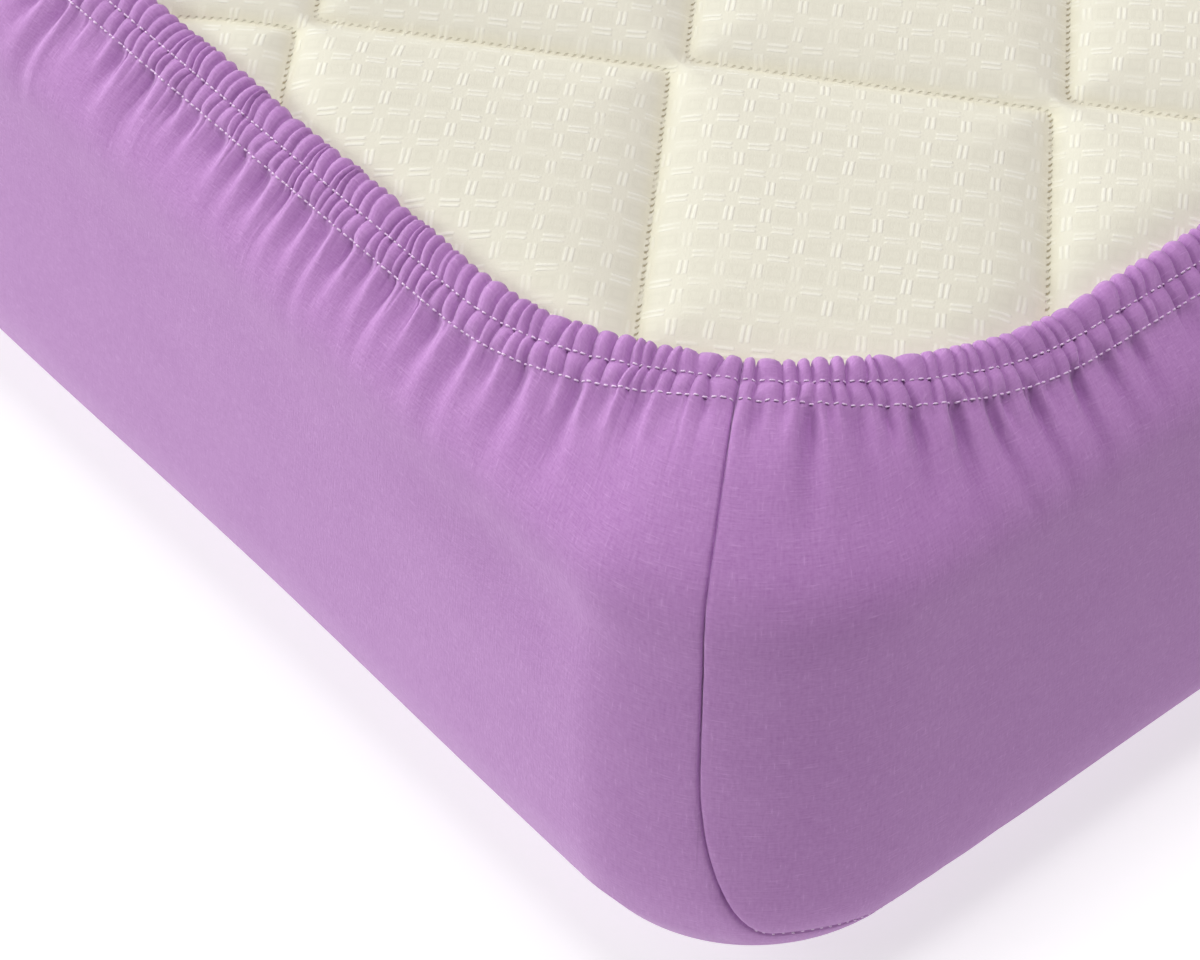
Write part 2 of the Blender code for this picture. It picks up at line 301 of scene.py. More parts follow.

# %% [markdown]
# ## Creases below the elastic
#
# Most puckers die out within a few millimetres of the lower stitching. Here and there several of them
# run together into a longer crease, which points away from the edge and fades on the shoulder. The
# creases near the closest corner are given one by one, in a table with a row for each. Further off, where
# only their unevenness tells, a seeded draw makes them.

# %% Creases given one by one
creases_by_hand = (
    # along the edge from the corner, width, depth, length, drift: in millimetres
    (-197, 2.2, 0.9, 14, 0.10),
    (-188, 1.8, 0.7, 20, 0.00),
    (-177, 2.6, 1.0, 16, 0.15),
    (-166, 2.0, 0.8, 24, 0.05),
    (-157, 2.4, 1.2, 22, 0.12),
    (-147, 2.0, 0.8, 28, 0.00),
    (-139, 2.4, 1.0, 26, 0.10),
    (-130, 2.0, 0.9, 34, 0.05),
    (-121, 2.4, 1.1, 24, 0.00),
    (-112, 2.2, 0.8, 30, 0.08),
    (-103, 2.2, 1.0, 28, 0.00),
    (-94, 2.0, 0.8, 22, 0.05),
    (-85, 2.6, 1.1, 30, 0.00),
    (-74, 2.2, 0.9, 34, 0.00),
    (-65, 2.0, 0.8, 22, 0.00),
    (-56, 2.4, 1.0, 32, 0.04),
    (-47, 1.8, 0.7, 20, 0.00),
    (-41, 2.2, 1.3, 33, 0.00),
    (-33.5, 1.9, 0.8, 18, 0.00),
    (-25, 2.0, 0.9, 22, 0.00),
    (-17, 1.8, 0.5, 14, 0.00),
    (-11, 1.4, 0.5, 10, 0.00),
    (0.5, 1.3, 1.2, 14, -0.15),
    (5, 2.6, 0.4, 26, 0.00),
    (10.8, 1.4, 2.0, 42, -0.06),
    (14.4, 1.2, 1.0, 13, 0.00),
    (18, 1.0, 0.5, 8, 0.00),
    (21, 2.0, 1.0, 36, -0.04),
    (27.4, 1.3, 1.1, 15, 0.00),
    (33.8, 1.4, 1.6, 34, 0.00),
    (44.3, 1.5, 1.9, 38, -0.02),
    (48.4, 1.0, 0.7, 7, 0.00),
    (52.3, 1.3, 1.6, 40, 0.12),
    (56.6, 1.1, 1.0, 12, 0.00),
    (64.5, 1.4, 1.7, 36, 0.06),
    (69, 1.0, 0.6, 7, 0.00),
    (77.7, 1.5, 1.7, 34, -0.03),
    (87.6, 1.6, 1.4, 30, 0.05),
    (97, 1.6, 1.2, 26, 0.05),
)


# %% Creases along each panel
placed_on_side, placed_on_end = 0.205, 0.105  # how far from the corner the table reaches
clear_of_seam = 0.008
crease_start = 0.0018  # above the lower stitching
crease_onset = 0.0055  # length over which a crease reaches its full depth


def creases_of(panel, seed):
    """Rows of (place, width, depth, length, drift) in metres along one panel."""
    uneven = np.random.default_rng(seed)
    rows = []
    c = panel.start + clear_of_seam
    placed = placed_on_side if panel.last == 0 else placed_on_end
    while c < panel.end - clear_of_seam:
        if distance_to_seen_corner(panel, c) > placed:
            depth, width = uneven.uniform(0.5, 1.2) / 1000, uneven.uniform(1.8, 3.0) / 1000
            length, drift = uneven.uniform(12, 36) / 1000, uneven.uniform(-0.12, 0.12)
            rows.append((c, width, depth, length, drift))
        c += uneven.uniform(0.007, 0.014)
    for place, width, depth, length, drift in creases_by_hand:
        c = place / 1000 + (2 * panel.middle if panel.last == 0 else 0)
        if 0 in (panel.first, panel.last) and panel.start < c < panel.end:
            rows.append((c, width / 1000, depth / 1000, length / 1000, drift))
    return sorted(rows)


def crease_depth(rows, c, below):
    """How far the creases sink the cloth, at a length below the lower stitching."""
    widest = doubling = 0.03  # no crease reaches further sideways, and each is twice as wide so far down
    sunk = np.zeros(np.broadcast(c, below).shape)
    for place, width, depth, length, drift in rows:
        near = np.flatnonzero(np.abs(c - place) < widest)
        if not len(near):
            continue
        started = np.clip((below[near] + crease_start) / crease_onset, 0, 1)
        down = np.maximum(below[near], 0)
        share = np.clip(down / length, 0, 1)
        wide = width * (1 + down / doubling)
        across = (c[near] - place - drift * down) / wide
        across = np.where(across < 0, across * 0.8, across * 1.45)
        shape = np.exp(-(across**2)) - 0.40 * np.exp(-((np.abs(across) - 1.9) ** 2))
        fading = 1 - share * share * (3 - 2 * share)
        sunk[near] += depth * shape * started * fading * (1.3 + 0.6 * np.exp(-down / 0.006))
    return sunk


creases = {name: creases_of(panel, 31 + n) for n, (name, panel) in enumerate(panels.items())}
print("creases:", {name: len(rows) for name, rows in creases.items()})

# %% [markdown]
# ## The section of the casing
#
# Seen from the end, the hem is a flat tube: the cloth comes up from the mattress, rounds the elastic,
# is pinned by the upper and the lower stitching, and runs on down the side. A table gives one row for
# each line of mesh along it, with the direction in which the puckers swell there and how much of each
# set of puckers it takes. A table of the section is easier to shape by hand than one long formula.

# %% Section of the casing
puffs = {"header": 0.0030, "band": 0.0025, "below": 0.0018}
upper_stitching, lower_stitching = 0.0072, 0.0140
casing_rows = (
    # from the fold, height over plain cloth, facing (degrees), header, band, below
    (0.0032, -0.0033, 270, 0.0, 0.0, 0.0),
    (0.0010, -0.0030, 225, 0.2, 0.0, 0.0),
    (0.0000, -0.0018, 180, 0.5, 0.0, 0.0),
    (0.0002, -0.0008, 150, 0.8, 0.0, 0.0),
    (0.0010, 0.0000, 120, 1.0, 0.0, 0.0),
    (0.0024, 0.0004, 95, 1.0, 0.0, 0.0),
    (0.0042, 0.0004, 90, 0.95, 0.0, 0.0),
    (0.0060, 0.0002, 90, 0.75, 0.0, 0.0),
    (0.0068, 0.0001, 90, 0.56, 0.14, 0.0),
    (0.0072, 0.0001, 90, 0.34, 0.30, 0.0),
    (0.0077, 0.0001, 90, 0.10, 0.55, 0.0),
    (0.0090, 0.0001, 90, 0.0, 0.95, 0.0),
    (0.0107, 0.0001, 90, 0.0, 1.0, 0.0),
    (0.0124, 0.0000, 90, 0.0, 0.90, 0.0),
    (0.0134, 0.0000, 90, 0.0, 0.60, 0.14),
    (0.0140, 0.0000, 90, 0.0, 0.34, 0.36),
    (0.0146, 0.0000, 90, 0.0, 0.08, 0.62),
)
lean_header = smooth_noise(71, 0.006, -0.32, 0.32)
lean_band = smooth_noise(72, 0.005, -0.26, 0.26)
print("casing", casing_rows[-1][0], "m deep, stitch rows",
      round(lower_stitching - upper_stitching, 4), "m apart")


# %% Points of the casing
def rolled_in(beside):
    """How far the cloth turns in close to a seam, for distances from the seam."""
    return -0.0013 * np.exp(-((beside / 0.0004) ** 2)) - 0.0003 * np.exp(-((beside / 0.0016) ** 2))


def casing_points(name, c, row):
    """Points of one line of the casing."""
    panel = panels[name]
    run, height, facing, header, band, below = row
    beside = np.minimum(c - panel.start, panel.end - c)
    upright_by_seam = 0.006
    lean = lean_header(c) * max(upper_stitching - run, 0)
    if upper_stitching < run < lower_stitching:
        lean = lean_band(c) * (run - (upper_stitching + lower_stitching) / 2)
    across = c + lean * np.clip(beside / upright_by_seam, 0, 1)
    drop = run - panel.way(across)
    out, down = panel.directions(across, drop)
    swell = sum(
        share * puffs[zone] * gathers[name].at(c, zone)[0]
        for zone, share in (("header", header), ("band", band), ("below", below))
    )
    if run > lower_stitching - crease_start:
        sunk = crease_depth(creases[name], across, np.full(len(c), run - lower_stitching))
        height = height - sunk[:, None]
    angle = math.radians(facing)
    swelling = out * math.sin(angle) + down * math.cos(angle)
    points = panel.plain(across, drop) + out * height + swelling * swell[:, None]
    return points + rolled_in(beside)[:, None] * out


# %% [markdown]
# ## The lower seam
#
# Each end is closed by its own panel. Its seam comes straight down beside the corner, turns in a
# quarter round low on the wall, and runs on just above the floor. A seam is two layers turned in on
# each other, so it shows as a narrow furrow. Both panels have to meet in it exactly, so its line is
# one function that both of them read. A second function gives each point's distance from the seam.

# %% Line of the lower seam
turn_top, turn_bottom, turn_width = 0.105, 0.034, 0.022  # heights and width of the quarter round
seam_low, seam_low_run = 0.012, 0.090  # height under the end, and length over which it comes down


def drop_to(height):
    """Length below the top of the wall at which the surface is that high."""
    low = np.clip(1 - height / edge_radius, 0, 1)
    return np.where(height >= edge_radius, wall_top - height, wall + edge_radius * np.arcsin(low))


def seam_drop(panel, c):
    """Where an end panel's lower seam runs: round from the upright seam, then under the end."""
    corner, q = panel.corner_and_q(c)
    towards_end = np.where(corner % 2 == 0, q, -q)
    reach = np.maximum(wall_reach(towards_end) + wall_reach(np.array(seam_shift)), 0)
    share = 1 - np.minimum(reach / turn_width, 1)
    turning = turn_top - (turn_top - turn_bottom) * np.sqrt(1 - share**2)
    share = np.clip((reach - turn_width) / seam_low_run, 0, 1)
    running = turn_bottom + share * share * (3 - 2 * share) * (seam_low - turn_bottom)
    return drop_to(np.where(reach < turn_width, turning, running))


seam_turn = float(drop_to(np.array(turn_top)))
print("lower seam under the middle of an end, drop", round(float(seam_drop(panels["near_end"], 0.3)), 4))


def seam_reach(panel, c):
    """Distance along the wall from the nearer upright seam."""
    corner, q = panel.corner_and_q(c)
    from_corner = np.where(corner == panel.first, q, -q)
    shift = -seam_shift if panel.first % 2 == 0 else seam_shift
    return np.maximum(wall_reach(from_corner) - wall_reach(np.array(shift)), 0)


# %% Distance to the seam
trace_c = panels["near_end"].start + np.linspace(0, 0.45, 4000) ** 2
trace_reach = seam_reach(panels["near_end"], trace_c)
trace_drop = seam_drop(panels["near_end"], trace_c)


def distance_to_seam(name, c, drop):
    """Distance on the cloth from the nearest seam of a panel."""
    panel = panels[name]
    reach = seam_reach(panel, c)
    turning = np.interp(drop, trace_drop, trace_reach, left=0.0, right=1.0)
    if panel.first % 2:
        lower = np.maximum(drop - seam_turn, 0)
        return np.hypot(reach, turning * lower / np.maximum(np.hypot(turning, lower), 1e-9))
    level = np.abs(reach - turning)
    upright = np.abs(seam_drop(panel, c) - drop)
    return level * upright / np.maximum(np.hypot(level, upright), 1e-9)


print("seam followed for", round(float(trace_reach[-1]), 3), "m along the wall, turning from drop",
      round(seam_turn, 4))

# %% [markdown]
# ## Cloth below the casing
#
# The padded edge of the mattress fills the cloth out at the shoulder, and the tight cloth bulges a
# little on the wall. Over that it is never quite flat: it has slow waves, small tugs beside the seams,
# and the puckers and creases that come down from the elastic. Each of these is a height over the plain
# surface, so they are simply added up and the cloth is moved out by their sum.

# %% Fullness and waves
wave_directions = np.random.default_rng(81).normal(size=(6, 3))
wave_starts = np.random.default_rng(82).uniform(0, 6.28, 6)
seam_puckers = smooth_noise(91, 0.0045, -1, 1)


def soft_waves(points):
    """Slow unevenness of the cloth on the side, the same for every panel that meets there."""
    total = np.zeros(len(points))
    for n, (direction, start) in enumerate(zip(wave_directions, wave_starts)):
        length, height = 0.09 + 0.05 * n, 0.00012 + 0.00009 * n
        turns = points @ direction / np.linalg.norm(direction) * 6.28 / length
        total += np.sin(turns + start) * height
    return total


def shoulder_fullness(degrees):
    """How far the padded edge stands out of its quarter round, by the angle above the level."""
    full_to, fullest = 50.6, 0.0042
    return fullest * np.sin(np.pi * np.clip(degrees / full_to, 0, 1)) ** 2


def corner_hollow(panel, c, drop):
    """A shallow dent on the long side, beside the corner that is seen closest."""
    if panel.last != 0:
        return 0.0
    along = (c - 2 * panel.middle + 0.040) / 0.030
    return -0.0026 * np.exp(-(along**2) - ((drop - 0.002) / 0.016) ** 2)


print("shoulder stands out", round(float(shoulder_fullness(25.3)), 4), "m, dent beside the corner",
      corner_hollow(panels["front_side"], panels["front_side"].end, 0.0).round(4), "m at the seam")


# %% Points below the casing
def skin_points(name, c, drop):
    """Points of the cloth below the casing, with its puckers, creases and soft waves."""
    panel = panels[name]
    below = drop + panel.way(c) - lower_stitching
    full = shoulder_fullness(np.degrees(-drop / edge_radius)) + corner_hollow(panel, c, drop)
    pucker, fade = gathers[name].at(c, "below")
    mean_pucker, bulge_height, settling = 0.45, 0.0022, 0.05
    swell = puffs["below"] * (pucker - mean_pucker) * np.exp(-np.maximum(below, 0) / fade)
    swell -= crease_depth(creases[name], c, below)
    bulge = bulge_height * np.sin(np.pi * np.clip((drop + 0.02) / (floor_drop - 0.02), 0, 1))
    beside = distance_to_seam(name, c, drop)
    tugs = 0.00022 * seam_puckers(drop) * np.exp(-beside / 0.006)
    out, _ = panel.directions(c, drop)
    plain = panel.plain(c, drop)
    share = np.clip(below / settling, 0, 1) * np.clip((floor_drop - drop) / settling, 0, 1)
    proud = swell + full + share * soft_waves(plain) + bulge + tugs + rolled_in(beside)
    return plain + out * proud[:, None]


# %% [markdown]
# ## Making the panels
#
# A panel is woven row by row, with its own UV map that tells each point's place on the flat cloth, so
# that the yarns follow the cloth round its folds. The rows of the casing need every column. Further
# down the cloth is smoother, so every second column ends, and again on the wall, which keeps the mesh
# light. A grid cut evenly all over would need many times as many faces for the same puckers.

# %% Weaving a mesh from rows
class Weaving:
    """Rows of points with their place in the cloth, joined by faces that face out."""

    def __init__(self):
        self.points, self.places, self.quads, self.tris, self.shades = [], [], [], [], []
        self.count = 0

    def row(self, points, across, down, shade=0.0):
        self.points.append(points)
        self.shades.append(np.broadcast_to(shade, across.shape))
        self.places.append(np.stack([across, np.broadcast_to(down, across.shape)], -1))
        self.count += len(points)
        return np.arange(self.count - len(points), self.count)

    def strip(self, upper, lower):
        self.quads.append(np.stack([upper[:-1], lower[:-1], lower[1:], upper[1:]], -1))

    def thinning_strip(self, upper, lower, kept):
        """Joins a row to one that keeps only some of its columns."""
        for n, (a, b) in enumerate(zip(kept, kept[1:])):
            if b == a + 1:
                self.quads.append(np.array([[upper[a], lower[n], lower[n + 1], upper[b]]]))
                continue
            middle = (a + b) // 2
            for k in range(a, middle):
                self.tris.append((upper[k], lower[n], upper[k + 1]))
            self.tris.append((upper[middle], lower[n], lower[n + 1]))
            for k in range(middle, b):
                self.tris.append((upper[k], lower[n + 1], upper[k + 1]))

    def mesh(self, name):
        points = np.concatenate(self.points)
        faces = [tuple(f) for f in np.concatenate(self.quads).tolist()] + self.tris
        mesh = bpy.data.meshes.new(name)
        mesh.from_pydata(points.tolist(), [], faces)
        corners = np.zeros(len(mesh.loops), int)
        mesh.loops.foreach_get("vertex_index", corners)
        layer = mesh.uv_layers.new(name="cloth")
        layer.data.foreach_set("uv", np.concatenate(self.places)[corners].ravel())
        # painted shade in the folds, from 0 to 1, which the cotton's colour reads
        shade = mesh.attributes.new("hollow", "FLOAT", "POINT")
        shade.data.foreach_set("value", np.clip(np.concatenate(self.shades), 0, 1))
        mesh.shade_smooth()
        return mesh


# %% Thinning and adding a piece
kept_beside_seams = 0.013


def thinned(c):
    """Every second column, but all of those beside the upright seams."""
    beside = np.minimum(c - c[0], c[-1] - c) < kept_beside_seams
    kept = np.flatnonzero(beside | (np.arange(len(c)) % 2 == 0))
    return [int(n) for n in kept]


def placed(name, data):
    """A new object in the scene."""
    obj = bpy.data.objects.new(name, data)
    bpy.context.scene.collection.objects.link(obj)
    return obj


def add_piece(name, mesh, finish, stands_for=()):
    piece = placed(name, mesh)
    piece.data.materials.append(finish)
    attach(piece, "root")
    if stands_for:
        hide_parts(*stands_for)
    mesh.calc_loop_triangles()
    print(name, len(mesh.loop_triangles), "triangles")
    return piece


# %% [markdown]
# ## Shade in the hollows
#
# Deep between two puckers the cloth looks darker and stronger in colour, because light that gets in
# has met cloth several times. Light that bounces inside such narrow folds is slow to work out, and the
# folds here are a little shallower than real ones. So each point of the mesh also keeps a number from
# 0 to 1, how deep it lies, and the cotton's colour reads it.

# %% Depth of each point
full_shade_at = 0.0030  # a crease this deep is shaded in full


def dip_shade(height):
    return np.clip(1.05 - height, 0, 1) ** 1.5


def casing_hollow(name, c, row):
    """How deep each point of a casing row lies between the ridges, from 0 to 1, which sets its painted
    shade.
    """
    run, _, _, header, band, below = row
    deep = sum(
        min(1.0, 1.6 * share) * dip_shade(gathers[name].at(c, zone)[0])
        for zone, share in (("header", header), ("band", band), ("below", below))
    )
    if run > lower_stitching - crease_start:
        sunk = crease_depth(creases[name], c, np.full(len(c), run - lower_stitching))
        deep = deep + sunk / full_shade_at
    return deep


def skin_hollow(name, c, drop):
    """The same for a row below the casing."""
    below = drop + panels[name].way(c) - lower_stitching
    pucker, fade = gathers[name].at(c, "below")
    dips = dip_shade(pucker) * np.exp(-np.maximum(below, 0) / fade)
    return 0.7 * dips + crease_depth(creases[name], c, below) / full_shade_at


for name, panel in panels.items():
    along = gathers[name].columns(panel)
    shade = casing_hollow(name, along, casing_rows[-1])
    print(name, "mean shade at the lower stitching", round(float(shade.mean()), 2))

# %% [markdown]
# ## Rows of cloth
#
# The rows lie closer together where the cloth bends sharply: under the stitching, and beside the lower
# seam. The main panel runs under the ends as well, so its rows there keep the same levels as on the
# sides. If they didn't, the cloth would shear where the two meet at the foot of the corner.


# %% Rows down a panel
fine_shares = (0.02, 0.05, 0.09, 0.14)
soft_shares = (0.20, 0.28, 0.37, 0.47, 0.58, 0.70, 0.83, 1.0)


def weave_top(weaving, name):
    """Casing and shoulder of a panel. Returns its lowest row and that row's columns."""
    panel = panels[name]
    c = gathers[name].columns(panel)
    last = None
    for row in casing_rows:
        points = casing_points(name, c, row)
        line = weaving.row(points, c, row[0] - panel.way(c), casing_hollow(name, c, row))
        if last is not None:
            weaving.strip(last, line)
        last = line
    casing = casing_rows[-1][0]
    for shares in (fine_shares, soft_shares):
        if shares is soft_shares:
            kept = thinned(c)
            c = c[kept]
        for n, share in enumerate(shares):
            drop = (casing - panel.way(c)) * (1 - share)
            line = weaving.row(skin_points(name, c, drop), c, drop, skin_hollow(name, c, drop))
            if shares is soft_shares and n == 0:
                weaving.thinning_strip(last, line, kept)
            else:
                weaving.strip(last, line)
            last = line
    return last, c


def weave_wall(weaving, name, last, c, drops):
    """Rows down the wall, at the drops that a function gives for the columns that are left."""
    kept = thinned(c)
    c = c[kept]
    rows = []
    for drop in drops(c):
        drop = np.broadcast_to(drop, c.shape)
        line = weaving.row(skin_points(name, c, drop), c, drop)
        if rows:
            weaving.strip(rows[-1], line)
        else:
            weaving.thinning_strip(last, line, kept)
        rows.append(line)
    return rows, c


# %% Levels of the rows
wall_shares = (0.12, 0.25, 0.38, 0.51, 0.63, 0.74, 0.83, 0.89, 0.935, 0.965, 0.982, 0.991, 0.997, 1.0)
foot_shares = (0.0, 0.003, 0.009, 0.018, 0.035, 0.07, 0.14, 0.26, 0.40, 0.54, 0.66, 0.77, 0.87, 0.94, 1.0)
foot_levels = [seam_turn + share * (floor_drop - seam_turn) for share in foot_shares]
least_below_seam = (0.0, 0.0003, 0.0009, 0.0017, 0.0028, 0.0042, 0.006, 0.008, 0.010, 0.012, 0.0145, 0.0175,
                    0.0205, 0.0235, 0.0)
print(len(casing_rows) + len(fine_shares + soft_shares + wall_shares), "rows on an end panel,",
      len(foot_levels), "rows at the foot of the main panel")

# %% Weave the end panels
lower_seam_columns = {}


def end_panel_mesh(name):
    weaving = Weaving()
    last, c = weave_top(weaving, name)
    _, lower_seam_columns[name] = weave_wall(
        weaving, name, last, c, lambda kept: [share * seam_drop(panels[name], kept) for share in wall_shares]
    )
    return weaving.mesh(name)


# %% Weave the main panel
def merged(mesh, distance):
    """Joins points of a mesh that lie closer than the distance."""
    bm = bmesh.new()
    bm.from_mesh(mesh)
    bmesh.ops.remove_doubles(bm, verts=bm.verts, dist=distance)
    bm.to_mesh(mesh)
    bm.free()
    return mesh


def main_panel_mesh():
    """Both long sides, what shows of the ends below their panels, and the sleeping face underneath."""
    weaving = Weaving()
    sides = {}
    for name in ("front_side", "back_side"):
        last, c = weave_top(weaving, name)
        upper = [seam_turn * share for share in (0.25, 0.5, 0.75, 0.93)]
        rows, _ = weave_wall(weaving, name, last, c, lambda kept: upper + foot_levels)
        sides[name] = rows[len(upper):]
    rims = {}
    for name in ("near_end", "far_end"):
        c = lower_seam_columns[name]
        seam = seam_drop(panels[name], c)
        rows = []
        for level, least in zip(foot_levels, least_below_seam):
            drop = np.maximum(level, seam + least)
            rows.append(weaving.row(skin_points(name, c, drop), c, drop))
        for upper, lower in zip(rows, rows[1:]):
            weaving.strip(upper, lower)
        rims[name] = rows[-1][1:-1]
    rim = np.concatenate(
        [sides["front_side"][-1], rims["near_end"], sides["back_side"][-1], rims["far_end"]]
    )
    points = np.concatenate(weaving.points)[rim]
    inner = points * np.array([0.93, 0.85, 1.0])
    under = weaving.row(inner, inner[:, 0], inner[:, 1])
    weaving.strip(np.append(rim, rim[0]), np.append(under, under[0]))
    weaving.tris.append(tuple(int(n) for n in under))
    return merged(weaving.mesh("main_panel"), 0.00001)


# %% [markdown]
# ## Finishes
#
# Three finishes cover the sheet and the mattress: the cotton, the ticking and the thread.
# None of them uses an image. Their patterns are worked out in the shader, so they stay sharp however
# close the camera comes. A small class lets the maths be written as formulas, which are easier to read
# than a list of nodes and links.

# %% Shader maths as expressions
class Maths:
    """A socket that can be written in formulas."""

    def __init__(self, tree, socket):
        self.tree, self.socket = tree, socket

    def _of(self, operation, *values):
        made = self.tree.nodes.new("ShaderNodeMath")
        made.operation = operation
        for place, value in enumerate(values):
            feed(self.tree, made.inputs[place], value)
        return Maths(self.tree, made.outputs[0])

    def __add__(self, other):
        return self._of("ADD", self, other)

    def __radd__(self, other):
        return self._of("ADD", other, self)

    def __sub__(self, other):
        return self._of("SUBTRACT", self, other)

    def __rsub__(self, other):
        return self._of("SUBTRACT", other, self)

    def __mul__(self, other):
        return self._of("MULTIPLY", self, other)

    def __rmul__(self, other):
        return self._of("MULTIPLY", other, self)

    def size(self):
        return self._of("ABSOLUTE", self)

    def high(self, other):
        return self._of("MAXIMUM", self, other)

    def low(self, other):
        return self._of("MINIMUM", self, other)

    def repeated(self, step):
        """Distance to the nearest whole number of steps."""
        return self._of("PINGPONG", self, step / 2)

    def within(self, edge, soft):
        """1 where the value is below edge, falling smoothly to 0 at edge + soft."""
        made = self.tree.nodes.new("ShaderNodeMapRange")
        made.interpolation_type = "SMOOTHSTEP"
        feed(self.tree, made.inputs["Value"], self)
        made.inputs["From Min"].default_value = edge
        made.inputs["From Max"].default_value = edge + soft
        made.inputs["To Min"].default_value = 1.0
        made.inputs["To Max"].default_value = 0.0
        return Maths(self.tree, made.outputs["Result"])


def feed(tree, socket, value):
    """Links or sets one input."""
    if isinstance(value, Maths):
        tree.links.new(value.socket, socket)
    elif isinstance(value, bpy.types.NodeSocket):
        tree.links.new(value, socket)
    else:
        socket.default_value = value


class Finish:
    """A material and short ways to add its nodes."""

    def __init__(self, name, roughness, **constants):
        self.material = bpy.data.materials.new(name)
        self.material.use_nodes = True
        self.tree = self.material.node_tree
        self.shader = self.tree.nodes["Principled BSDF"]
        self.shader.inputs["Roughness"].default_value = roughness
        for socket, value in constants.items():
            self.shader.inputs[socket.replace("_", " ")].default_value = value

    def node(self, kind, settings=(), output=0, **values):
        made = self.tree.nodes.new("ShaderNode" + kind)
        for setting, value in dict(settings).items():
            setattr(made, setting, value)
        for socket, value in values.items():
            feed(self.tree, made.inputs[socket.replace("_", " ")], value)
        return made.outputs[output]

    def maths(self, socket):
        return Maths(self.tree, socket)

    def noise(self, vector, scale, detail=2.0, roughness=0.5):
        made = self.node("TexNoise", Vector=vector, Scale=scale, Detail=detail, Roughness=roughness)
        return self.maths(made)

    def stretched(self, vector, scale, turn=0.0):
        """The same vector turned about Z, then scaled."""
        made = self.tree.nodes.new("ShaderNodeMapping")
        made.vector_type = "POINT"
        made.inputs["Rotation"].default_value = (0, 0, turn)
        made.inputs["Scale"].default_value = scale
        feed(self.tree, made.inputs["Vector"], vector)
        return made.outputs[0]

    def mix(self, share, first, second, blend="MIX"):
        made = self.tree.nodes.new("ShaderNodeMix")
        made.data_type, made.blend_type = "RGBA", blend
        feed(self.tree, made.inputs[0], share)
        feed(self.tree, made.inputs[6], first)
        feed(self.tree, made.inputs[7], second)
        return made.outputs[2]

    def use(self, colour, height=None, distance=0.0002, strength=1.0):
        feed(self.tree, self.shader.inputs["Base Color"], colour)
        if height is not None:
            bump = self.node("Bump", Height=height, Distance=distance, Strength=strength)
            self.tree.links.new(bump, self.shader.inputs["Normal"])
        return self.material


print("functions of a socket:", [name for name in vars(Maths) if not name.startswith("_")])

# %% [markdown]
# ## Lilac cotton
#
# The sheet is a plain-woven cotton, matt, with slightly thick and thin yarns. They show as short
# flecks along the weft and the warp. Noise stretched one way gives the weft, and the same noise
# stretched the other way gives the warp. Where either yarn is at its thickest there is a slub. A little
# sheen stands for the fine fibres that catch light at the edge of a fold. Deep in the folds the colour
# turns darker and stronger: painted shade, set by the mesh's fold shade number.

# %% Lilac cotton
lilac_dark, lilac_light = (0.440, 0.198, 0.500, 1), (0.600, 0.325, 0.655, 1)
# painted shade deep in the folds: its colour, and how far the cloth's colour goes towards it
lilac_in_hollows, most_hollow = (0.190, 0.060, 0.235, 1), 0.54


def cotton():
    finish = Finish("lilac_cotton", 0.86, Sheen_Weight=0.22, Sheen_Roughness=0.45, Specular_IOR_Level=0.22)
    cloth = finish.node("UVMap", {"uv_map": "cloth"})
    along = finish.stretched(cloth, (260, 2300, 1))
    down = finish.stretched(cloth, (2500, 220, 1))
    weft = finish.noise(along, 1.0, 2.0)
    warp = finish.noise(down, 1.0, 2.0)
    cloudy = finish.noise(finish.node("TexCoord", output=3), 60.0, 3.0)
    grain = finish.noise(finish.stretched(cloth, (1300, 1300, 1)), 1.0, 2.0, 0.6)
    slub = 1.0 - weft.within(0.64, 0.10) * warp.within(0.66, 0.10)
    thick = (weft - 0.5) * 0.55 + (warp - 0.5) * 0.55 + (grain - 0.5) * 0.7
    tone = (thick * 1.2 + 0.46 + (cloudy - 0.5) * 0.30 + slub * 0.55).high(0.0).low(1.0)
    colour = finish.mix(tone, lilac_dark, lilac_light)
    hollow = finish.maths(finish.node("Attribute", {"attribute_name": "hollow"}, output=2))
    # painted shade: the colour turns darker and stronger where the mesh says the cloth lies deep in a fold
    colour = finish.mix(hollow * most_hollow, colour, lilac_in_hollows)
    return finish.use(colour, thick, 0.00028, 0.55)


cotton_finish = cotton()
print("cotton:", len(cotton_finish.node_tree.nodes), "nodes")

# %% [markdown]
# ## Quilted ticking
#
# The ticking is a pale jacquard. Pairs of short raised dashes form a trellis that is turned like the
# quilting, with a faint square motif in each cell. Two coordinates are turned and folded back at every
# cell with a ping-pong function, so one cell's drawing repeats over the whole top. A little noise in
# them keeps the rows from being perfectly straight. Along the stitched lines the grooves get a light
# painted shade and the needle's holes a dark painted shade. For these the piece's UV map says how far
# along and away from a line each point lies.

# %% Quilted ticking
ground, dash_thread = (0.785, 0.765, 0.640, 1), (0.900, 0.890, 0.790, 1)
motif_thread, yellowed = (0.720, 0.700, 0.580, 1), (0.840, 0.815, 0.665, 1)
# painted shade: colours laid in the quilting grooves and in the needle holes
painted_groove_shade, painted_hole_shade = (0.770, 0.725, 0.520, 1), (0.330, 0.270, 0.130, 1)
cell_width, cell_depth, needle_pitch = 0.0097, 0.0109, 0.0026


